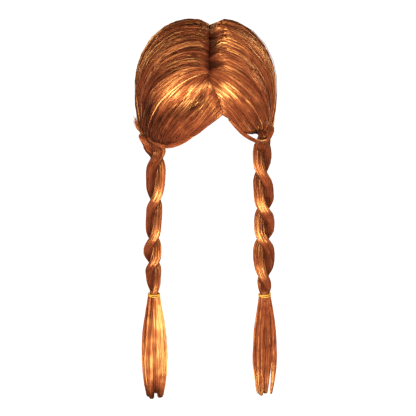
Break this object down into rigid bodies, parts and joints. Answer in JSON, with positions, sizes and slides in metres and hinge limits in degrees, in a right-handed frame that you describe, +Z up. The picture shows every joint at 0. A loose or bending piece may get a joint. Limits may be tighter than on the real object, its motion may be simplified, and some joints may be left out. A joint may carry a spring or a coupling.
{
  "type": "wig with two plaits",
  "caption": "Hollow cap of swept auburn hair with a middle parting and a fringe, a rope plait hanging at each temple, each plait held by an elastic band above a loose tail.",
  "frame": {"origin": "under the hair at the crown of the head, where the wig sits on its wearer", "axes": "+Z up, -Y towards the face opening, +X towards the wearer's left"},
  "size_m": [0.1818, 0.2221, 0.4996],
  "materials": {
    "hair": "auburn synthetic hair, glossy fibre",
    "elastic": "mustard yellow elastic"
  },
  "bodies": {
    "root": {"crown_left": "hair", "crown_right": "hair", "fringe_left": "hair", "fringe_right": "hair", "gather_left": "hair", "gather_right": "hair", "wrap_lock_left": "hair", "wrap_lock_right": "hair", "plait_left_a": "hair", "plait_left_b": "hair", "plait_right_a": "hair", "plait_right_b": "hair", "band_left": "elastic", "band_right": "elastic", "tail_left": "hair", "tail_right": "hair"}
  },
  "joints": []
}
